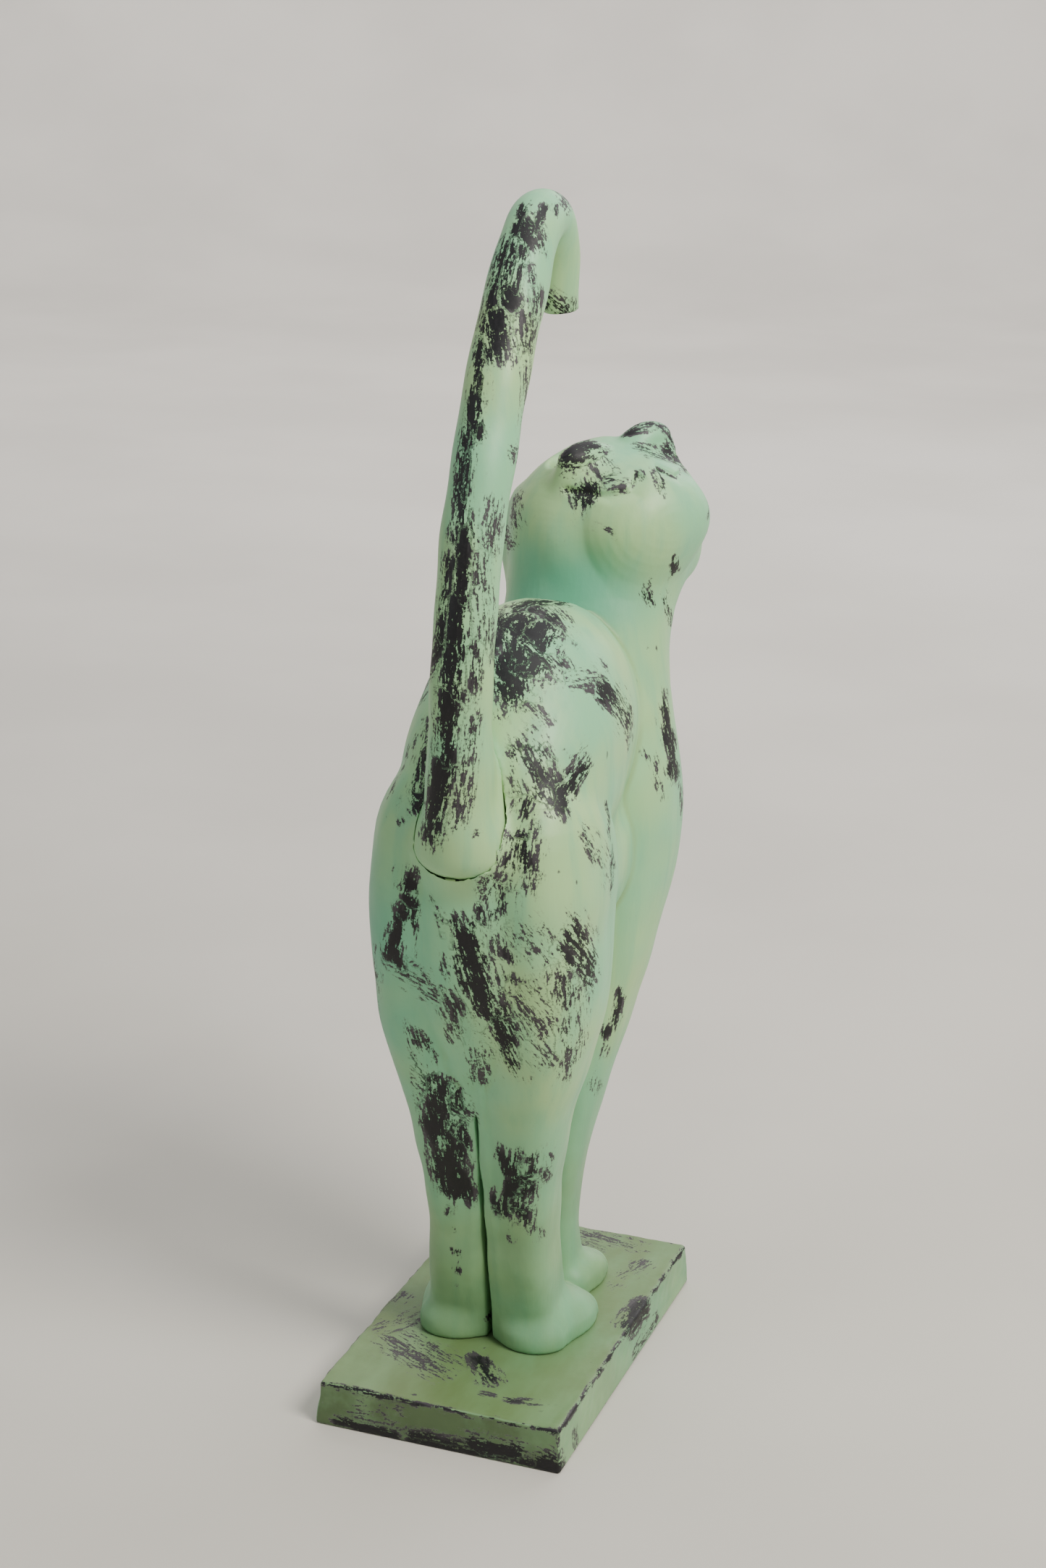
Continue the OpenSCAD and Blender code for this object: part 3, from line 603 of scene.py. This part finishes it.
def wear_map(P0, strokes, wander):
    """Per point: how worn, and coordinates (mm) stretched along the stroke."""
    n = len(P0)
    best = np.zeros(n)
    grain = P0 * [1.0, 1.0, 0.3]
    P = P0 + np.stack([waves(P0, 41 + k, (7, 12, 23), wander) for k in range(3)], 1)  # irregular outlines
    for i, (x1, y1, z1, x2, y2, z2, r, w) in enumerate(strokes):
        A, B = np.array([x1, y1, z1]), np.array([x2, y2, z2])
        reach = 2.6 * r + 2
        lo, hi = np.minimum(A, B) - reach, np.maximum(A, B) + reach
        k = np.where(((P >= lo) & (P <= hi)).all(axis=1))[0]
        if not len(k):
            continue
        L = max(np.linalg.norm(B - A), 1e-6)
        d = (B - A) / L
        rel = P[k] - A
        u = rel @ d
        near = rel - np.clip(u, 0, L)[:, None] * d
        m = w * (1 - smoothstep(0.2, 2.35, np.linalg.norm(near, axis=1) / (1.1 * r + 0.35)))
        win = m > best[k]
        kk = k[win]
        best[kk] = m[win]
        rel = P0[kk] - A
        g = rel - ((rel @ d) * 0.78)[:, None] * d
        grain[kk] = g + np.array([37.0, 11.0, 23.0]) * (i + 1)
    return best, grain


def saw(ob, keep_up):
    """Saws the piece square at the neck joint and closes the cut."""
    import bmesh
    side = Vector((-NECK_UP[0], -NECK_UP[1], NECK_UP[2]))
    at = Vector((-NECK_CUT[0], -NECK_CUT[1], NECK_CUT[2])) / 1000.0
    bm = bmesh.new()
    bm.from_mesh(ob.data)
    got = bmesh.ops.bisect_plane(bm, geom=bm.verts[:] + bm.edges[:] + bm.faces[:], dist=1e-7, plane_co=at,
                                 plane_no=side, clear_outer=not keep_up, clear_inner=keep_up)
    rim = [e for e in got["geom_cut"] if isinstance(e, bmesh.types.BMEdge)]
    for e in rim:
        e.smooth = False
    new = bmesh.ops.triangle_fill(bm, edges=rim, use_beauty=True, use_dissolve=False, normal=-side if keep_up else side)
    for f in new["geom"]:
        if isinstance(f, bmesh.types.BMFace):
            f.smooth = False
    bm.to_mesh(ob.data)
    bm.free()
    ob.data.update()


def painted_shade_map(P):
    """Painted shade: a cooler, darker tint on the nape and on the left flank, and darker paint low down."""
    nape_shade = 1 - smoothstep(10, 34, np.linalg.norm((P - [-4, -58, 328]) / [1.2, 1.0, 1.0], axis=1))
    flank_shade = (1 - smoothstep(18, 60, np.linalg.norm((P - [40, 40, 205]) / [0.8, 1.0, 1.5], axis=1))) * 0.8
    low_shade = 1 - smoothstep(60, 175, P[:, 2])
    return np.stack([np.maximum(nape_shade, flank_shade), low_shade, np.zeros(len(P))], 1)


def build(name, P, Q, R, strokes, edge_wear, tone, node_slot, form_rounds=26, ink=0.0, wander=1.8):
    """Makes the Blender object in metres from points in sculpting axes."""
    P = P * [-1, -1, 1]                    # into the row frame, handedness kept
    N = normals(P, Q)
    D = P.copy()
    for _ in range(form_rounds):
        D = R.mean(D)
    form = np.einsum("ij,ij->i", N, D - P)   # below zero on ridges, above in hollows
    m, g = wear_map(P, strokes, wander)
    ridge = smoothstep(edge_wear[0], edge_wear[1], -form) * edge_wear[2]
    if name != "painted_plinth":   # no rubbing on the sawn joints or under the paws
        cut = (P * [-1, -1, 1] - NECK_CUT) @ NECK_UP
        seat = np.linalg.norm((P - [1, 61, TOP + 238]) / [1, 1, 1.4], axis=1)
        ridge = ridge * smoothstep(2.0, 6.0, np.abs(cut)) * smoothstep(24, 36, seat) * smoothstep(24, 36, P[:, 2])
    m = np.maximum(m, ridge)
    if ink:   # the dark coat stays in the carved lines
        m = np.maximum(m, ink * smoothstep(0.22, 0.62, form))
    me = bpy.data.meshes.new(name)
    me.vertices.add(len(P))
    me.vertices.foreach_set("co", np.ascontiguousarray(P / 1000.0, np.float32).ravel())
    me.loops.add(len(Q) * 4)
    me.loops.foreach_set("vertex_index", Q.astype(np.int32).ravel())
    me.polygons.add(len(Q))
    me.polygons.foreach_set("loop_start", (np.arange(len(Q)) * 4).astype(np.int32))
    me.update(calc_edges=True)
    me.validate()
    me.polygons.foreach_set("use_smooth", np.ones(len(me.polygons), bool))
    for nm, arr in (("wear", m), ("form", form)):
        me.attributes.new(nm, "FLOAT", "POINT").data.foreach_set("value", arr.astype(np.float32))
    for nm, arr in (("grain", g), ("painted_shade", painted_shade_map(P))):
        me.attributes.new(nm, "FLOAT_VECTOR", "POINT").data.foreach_set("vector", arr.astype(np.float32).ravel())
    me.update()
    ob = bpy.data.objects.new(name, me)
    bpy.context.scene.collection.objects.link(ob)
    me.materials.append(tone)
    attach(ob, "root")
    return ob


# ---------------------------------------------------------------- materials
def lin(r, g, b):
    f = lambda c: c / 12.92 if c <= 0.04045 else ((c + 0.055) / 1.055) ** 2.4
    return (f(r / 255), f(g / 255), f(b / 255), 1.0)


class Nodes:
    def __init__(self, name):
        self.mat = bpy.data.materials.new(name)
        self.mat.use_nodes = True
        self.t = self.mat.node_tree
        self.t.nodes.clear()
        self.out = self.t.nodes.new("ShaderNodeOutputMaterial")
        self.sh = self.t.nodes.new("ShaderNodeBsdfPrincipled")
        self.t.links.new(self.sh.outputs[0], self.out.inputs[0])

    def put(self, sock, val):
        if isinstance(val, bpy.types.NodeSocket):
            self.t.links.new(val, sock)
        else:
            sock.default_value = val

    def node(self, kind, **props):
        n = self.t.nodes.new(kind)
        for k, v in props.items():
            setattr(n, k, v)
        return n

    def coord(self):
        return self.node("ShaderNodeTexCoord").outputs["Object"]

    def attr(self, name, vec=False):
        n = self.node("ShaderNodeAttribute", attribute_name=name, attribute_type="GEOMETRY")
        return n.outputs["Vector" if vec else "Fac"]

    def math(self, op, a, b=0.0, clamp=False):
        n = self.node("ShaderNodeMath", operation=op, use_clamp=clamp)
        self.put(n.inputs[0], a)
        self.put(n.inputs[1], b)
        return n.outputs[0]

    def scale(self, vec, xyz):
        n = self.node("ShaderNodeMapping")
        self.put(n.inputs["Vector"], vec)
        n.inputs["Scale"].default_value = xyz
        return n.outputs[0]

    def noise(self, vec, scale, detail=4.0, rough=0.55, distort=0.0):
        n = self.node("ShaderNodeTexNoise")
        self.put(n.inputs["Vector"], vec)
        n.inputs["Scale"].default_value = scale
        n.inputs["Detail"].default_value = detail
        n.inputs["Roughness"].default_value = rough
        n.inputs["Distortion"].default_value = distort
        return n.outputs["Fac"]

    def step(self, x, a, b, lo=0.0, hi=1.0, smooth=True):
        n = self.node("ShaderNodeMapRange", interpolation_type="SMOOTHSTEP" if smooth else "LINEAR")
        self.put(n.inputs["Value"], x)
        for k, v in (("From Min", a), ("From Max", b), ("To Min", lo), ("To Max", hi)):
            n.inputs[k].default_value = v
        return n.outputs[0]

    def mix(self, f, a, b, kind="MIX"):
        n = self.node("ShaderNodeMix", data_type="RGBA", blend_type=kind)
        self.put(n.inputs[0], f)
        self.put(n.inputs[6], a)
        self.put(n.inputs[7], b)
        return n.outputs[2]

    def bump(self, height, strength, dist, normal=None):
        n = self.node("ShaderNodeBump")
        n.inputs["Strength"].default_value = strength
        n.inputs["Distance"].default_value = dist
        self.put(n.inputs["Height"], height)
        if normal is not None:
            self.put(n.inputs["Normal"], normal)
        return n.outputs[0]


def worn_paint(name, mint, pale, deep, crease_shade, stroke=(1.0, 1.0, 0.12), top=None):
    """Satin mint paint over a dark undercoat, rubbed through in strokes."""
    M = Nodes(name)
    obj, grain = M.coord(), M.attr("grain", True)
    wear, form = M.attr("wear"), M.attr("form")
    # ragged edges of the rubbed patches
    n1 = M.noise(grain, 0.15, 4.0, 0.60, 0.15)
    n2 = M.noise(grain, 0.75, 6.0, 0.68)
    n3 = M.noise(obj, 900.0, 3.0, 0.6)
    t = M.math("MULTIPLY_ADD", M.math("SUBTRACT", n1, 0.5), 2.3)
    t.node.inputs[2].default_value = -0.02
    t = M.math("ADD", t, M.math("MULTIPLY", M.math("SUBTRACT", n2, 0.5), 3.5))
    t = M.math("ADD", t, M.math("MULTIPLY", M.math("SUBTRACT", n3, 0.5), 1.5))
    gate = M.step(wear, 0.0, 0.30, 0.30, 1.0)
    gate = M.math("MULTIPLY", gate, M.step(wear, 0.8, 1.0, 1.0, 0.78))
    t = M.math("ADD", M.math("MULTIPLY", t, gate), M.math("MULTIPLY", wear, 0.80))
    bare = M.step(t, 0.43, 0.55)
    film = M.step(t, 0.16, 0.50)
    # scattered nicks away from the patches
    specks = M.noise(M.scale(obj, (1.0, 1.0, 0.55)), 210.0, 2.0, 0.5)
    field = M.noise(obj, 17.0, 2.0, 0.5)
    nick = M.math("MULTIPLY", M.step(specks, 0.70, 0.745), M.step(field, 0.52, 0.62))
    bare = M.math("MAXIMUM", bare, nick)
    # the paint itself: brushed, a little uneven, with a dull green painted shade in the creases
    big = M.noise(obj, 13.0, 3.0, 0.5)
    brush = M.noise(M.scale(obj, stroke), 620.0, 3.0, 0.55)
    mid = M.noise(M.scale(obj, stroke), 120.0, 3.0, 0.5)
    col = M.mix(M.step(big, 0.38, 0.62), mint, pale)
    col = M.mix(M.step(mid, 0.45, 0.70, 0.0, 0.35), col, deep)
    col = M.mix(M.step(brush, 0.50, 0.78, 0.0, 0.14), col, pale)
    # painted shade: the first channel tints the nape and left flank a cooler teal, the second darkens the paint low
    # down
    painted_shade = M.node("ShaderNodeSeparateXYZ")
    M.put(painted_shade.inputs[0], M.attr("painted_shade", True))
    patchy = M.noise(obj, 30.0, 3.0, 0.55)
    col = M.mix(M.math("MULTIPLY", painted_shade.outputs[0], M.step(patchy, 0.25, 0.6, 0.45, 0.95)), col, lin(96, 172, 140))
    col = M.mix(M.math("MULTIPLY", painted_shade.outputs[1], M.step(patchy, 0.25, 0.7, 0.35, 0.75)), col, lin(106, 142, 100))
    # painted shade: a dull green darkening where the surface is hollow (form above zero)
    col = M.mix(M.step(form, 0.15, 1.1, 0.0, 0.6), col, crease_shade)
    if top is not None:
        up = M.node("ShaderNodeNewGeometry").outputs["Normal"]
        sep = M.node("ShaderNodeSeparateXYZ")
        M.put(sep.inputs[0], up)
        smear = M.noise(M.scale(obj, (1.0, 0.35, 1.0)), 45.0, 4.0, 0.6)
        f = M.math("MULTIPLY", M.step(sep.outputs[2], 0.6, 0.95), M.step(smear, 0.2, 0.75, 0.45, 1.0))
        col = M.mix(f, col, top)
        # painted shade: faces turned toward +Y, the plank's rear side, are painted a darker dull green
        f = M.math("MULTIPLY", M.step(sep.outputs[1], 0.7, 0.95), M.step(smear, 0.3, 0.6, 0.45, 0.95))
        col = M.mix(f, col, lin(78, 98, 62))
    # undercoat: near black where bare, a greyish purple where only thinned
    dn = M.noise(grain, 0.9, 4.0, 0.65)
    heavy = M.step(M.math("ADD", wear, M.math("MULTIPLY", M.math("SUBTRACT", dn, 0.5), 0.9)), 0.42, 0.85)
    dark = M.mix(heavy, lin(70, 65, 70), lin(13, 13, 17))
    dark = M.mix(M.step(n3, 0.40, 0.78, 0.0, 0.4), dark, lin(52, 48, 53))
    col = M.mix(M.math("MULTIPLY", film, M.step(n2, 0.35, 0.65, 0.12, 0.6)), col, lin(112, 116, 106))
    col = M.mix(bare, col, dark)
    M.put(M.sh.inputs["Base Color"], col)
    rough = M.step(mid, 0.3, 0.7, 0.40, 0.50, smooth=False)
    rough = M.math("ADD", rough, M.math("MULTIPLY", bare, M.step(n3, 0.3, 0.7, 0.04, 0.22)))
    M.put(M.sh.inputs["Roughness"], rough)
    M.sh.inputs["Specular IOR Level"].default_value = 0.42
    M.sh.inputs["Coat Weight"].default_value = 0.04
    M.sh.inputs["Coat Roughness"].default_value = 0.28
    h1 = M.math("MULTIPLY", bare, -1.0)
    b1 = M.bump(h1, 0.55, 0.00022)
    b2 = M.bump(M.math("ADD", brush, M.math("MULTIPLY", mid, 0.8)), 0.35, 0.00016, b1)
    b3 = M.bump(M.noise(obj, 160.0, 3.0, 0.5), 0.30, 0.0005, b2)
    b4 = M.bump(n3, 0.18, 0.00012, b3)
    M.put(M.sh.inputs["Normal"], b4)
    return M.mat


def turned_wood():
    M = Nodes("dowel_wood")
    obj = M.coord()
    rings = M.noise(M.scale(obj, (1.0, 1.0, 0.05)), 480.0, 4.0, 0.6, 0.6)
    pores = M.noise(M.scale(obj, (1.0, 1.0, 0.03)), 2600.0, 2.0, 0.5)
    col = M.mix(M.step(rings, 0.35, 0.65), lin(214, 178, 128), lin(180, 138, 88))
    col = M.mix(M.step(pores, 0.55, 0.7, 0.0, 0.5), col, lin(134, 96, 58))
    M.put(M.sh.inputs["Base Color"], col)
    M.put(M.sh.inputs["Roughness"], M.step(rings, 0.3, 0.7, 0.5, 0.66))
    M.put(M.sh.inputs["Normal"], M.bump(M.math("ADD", rings, pores), 0.3, 0.0002))
    return M.mat


def zinc():
    M = Nodes("screw_steel")
    obj = M.coord()
    spangle = M.noise(obj, 700.0, 4.0, 0.6)
    fine = M.noise(M.scale(obj, (1.0, 1.0, 4.0)), 2400.0, 2.0, 0.5)
    M.put(M.sh.inputs["Base Color"], M.mix(M.step(spangle, 0.35, 0.65), lin(196, 197, 202), lin(158, 158, 160)))
    M.sh.inputs["Metallic"].default_value = 1.0
    M.put(M.sh.inputs["Roughness"], M.step(spangle, 0.3, 0.7, 0.28, 0.44))
    M.put(M.sh.inputs["Normal"], M.bump(M.math("ADD", fine, spangle), 0.25, 0.0001))
    return M.mat


# the fourth colour of each is the dull green painted shade for the creases
carving = worn_paint("mint_carving", lin(136, 198, 152), lin(166, 204, 144), lin(108, 182, 146), lin(136, 160, 94))
plank = worn_paint("mint_plank", lin(124, 184, 140), lin(158, 196, 142), lin(98, 164, 128), lin(120, 140, 88),
                   stroke=(0.15, 0.15, 1.0), top=lin(100, 122, 74))

HB = 0.95
HH = 0.6
trunk_mesh, tail_mesh = body_pieces(HB)
body = build("painted_body", *trunk_mesh, WORN_BODY + MORE_BODY, (1.1, 2.4, 0.75), carving, "painted_carving")
tail = build("painted_tail", *tail_mesh, WORN_TAIL + MORE_TAIL, (1.1, 2.0, 0.8), carving, "painted_carving", wander=0.35)
del trunk_mesh, tail_mesh
head = build("painted_head", *head_piece(HH), WORN_HEAD + MORE_HEAD, (0.9, 2.2, 0.8), carving, "painted_carving", 40, 0.85, wander=1.0)
saw(body, False)
saw(head, True)
P, Q, R = plinth_piece(0.7)
plinth = build("painted_plinth", P, Q, R, WORN_PLINTH + MORE_PLINTH, (0.62, 1.15, 0.66), plank, "painted_plank", 20, wander=0.25)
for ob, node in ((body, "body"), (head, "head"), (tail, "tail"), (plinth, "plinth")):
    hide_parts(node)

for node, mat in (("neck_dowel", turned_wood()), ("tail_dowel", turned_wood()), ("foot_screws", zinc())):
    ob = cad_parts[node]
    if isinstance(ob, str):
        ob = bpy.data.objects[ob]
    if not ob.material_slots:
        ob.data.materials.append(mat)
    for sl in ob.material_slots:
        sl.material = mat

# ------------------------------------------------------------ floor and light
def cyclorama():
    """A round pale floor that curves up into a wall on all sides."""
    flat, bend, high, n = 3.4, 1.2, 4.0, 96
    prof = [(0.6, 0.0), (1.6, 0.0), (flat, 0.0)]
    prof += [(flat + bend * math.sin(a), bend - bend * math.cos(a)) for a in np.linspace(0, math.pi / 2, 20)[1:]]
    prof += [(flat + bend, high)]
    V = [(0.0, 0.0, 0.0)] + [(r * math.cos(2 * math.pi * k / n), r * math.sin(2 * math.pi * k / n), h)
                             for r, h in prof for k in range(n)]
    F = [(0, 1 + k, 1 + (k + 1) % n) for k in range(n)]
    F += [(1 + i * n + k, 1 + (i + 1) * n + k, 1 + (i + 1) * n + (k + 1) % n, 1 + i * n + (k + 1) % n)
          for i in range(len(prof) - 1) for k in range(n)]
    me = bpy.data.meshes.new("studio_floor")
    me.from_pydata(V, [], F)
    me.polygons.foreach_set("use_smooth", np.ones(len(F), bool))
    me.update()
    ob = bpy.data.objects.new("studio_floor", me)
    bpy.context.scene.collection.objects.link(ob)
    M = Nodes("pale_floor")
    o = M.coord()
    M.put(M.sh.inputs["Base Color"], M.mix(M.step(M.noise(o, 3.0, 4.0, 0.5), 0.3, 0.7), lin(204, 199, 190), lin(196, 191, 182)))
    M.sh.inputs["Roughness"].default_value = 0.75
    me.materials.append(M.mat)
    return ob


cyclorama()


def area(name, loc, target, size, power, colour):
    L = bpy.data.lights.new(name, "AREA")
    L.shape = "RECTANGLE"
    L.size, L.size_y = size
    L.energy = power
    L.color = colour
    ob = bpy.data.objects.new(name, L)
    bpy.context.scene.collection.objects.link(ob)
    ob.location = loc
    ob.rotation_euler = (Vector(target) - Vector(loc)).to_track_quat("-Z", "Y").to_euler()
    return ob


# the camera looks at the cat's back from behind its right shoulder, so camera
# right is about -X and camera left about +X
area("key", (-1.35, 0.45, 1.65), (0, 0, 0.36), (0.8, 0.8), 47, (1.0, 0.975, 0.90))
area("fill", (1.5, 1.5, 1.0), (0, 0, 0.3), (1.2, 1.2), 7, (0.80, 0.93, 1.0))
area("top", (-0.2, -0.2, 2.2), (0, 0, 0.2), (1.3, 1.3), 16, (1.0, 0.99, 0.97))
area("front", (-0.5, -1.9, 1.2), (0, 0, 0.25), (1.6, 1.2), 12, (0.97, 0.98, 1.0))
area("wall", (0.6, -2.0, 3.0), (1.2, -4.6, 0.6), (2.6, 1.6), 150, (0.97, 0.97, 1.0))

W = bpy.data.worlds.new("studio")
W.use_nodes = True
bg = W.node_tree.nodes.get("Background")
bg.inputs[0].default_value = (0.84, 0.88, 0.96, 1.0)
bg.inputs[1].default_value = 0.30
bpy.context.scene.world = W

# -------------------------------------------------------------------- camera
cam_data = bpy.data.cameras.new("photo_view")
cam_data.sensor_fit = "AUTO"
cam_data.sensor_width = 36.0
cam_data.lens = 3754.4 / 2167.0 * 36.0
cam_data.clip_start, cam_data.clip_end = 0.05, 30.0
cam = bpy.data.objects.new("photo_view", cam_data)
bpy.context.scene.collection.objects.link(cam)
right = Vector((-0.93847, -0.34496, 0.01664)).normalized()
fwd = Vector((0.32430, -0.89679, -0.30098)).normalized()
upv = right.cross(fwd).normalized()
right = fwd.cross(upv).normalized()
cam.matrix_world = Matrix((
    (right.x, upv.x, -fwd.x, -0.36120), (right.y, upv.y, -fwd.y, 0.99621),
    (right.z, upv.z, -fwd.z, 0.59349), (0, 0, 0, 1)))
bpy.context.scene.camera = cam

bpy.context.view_layer.update()
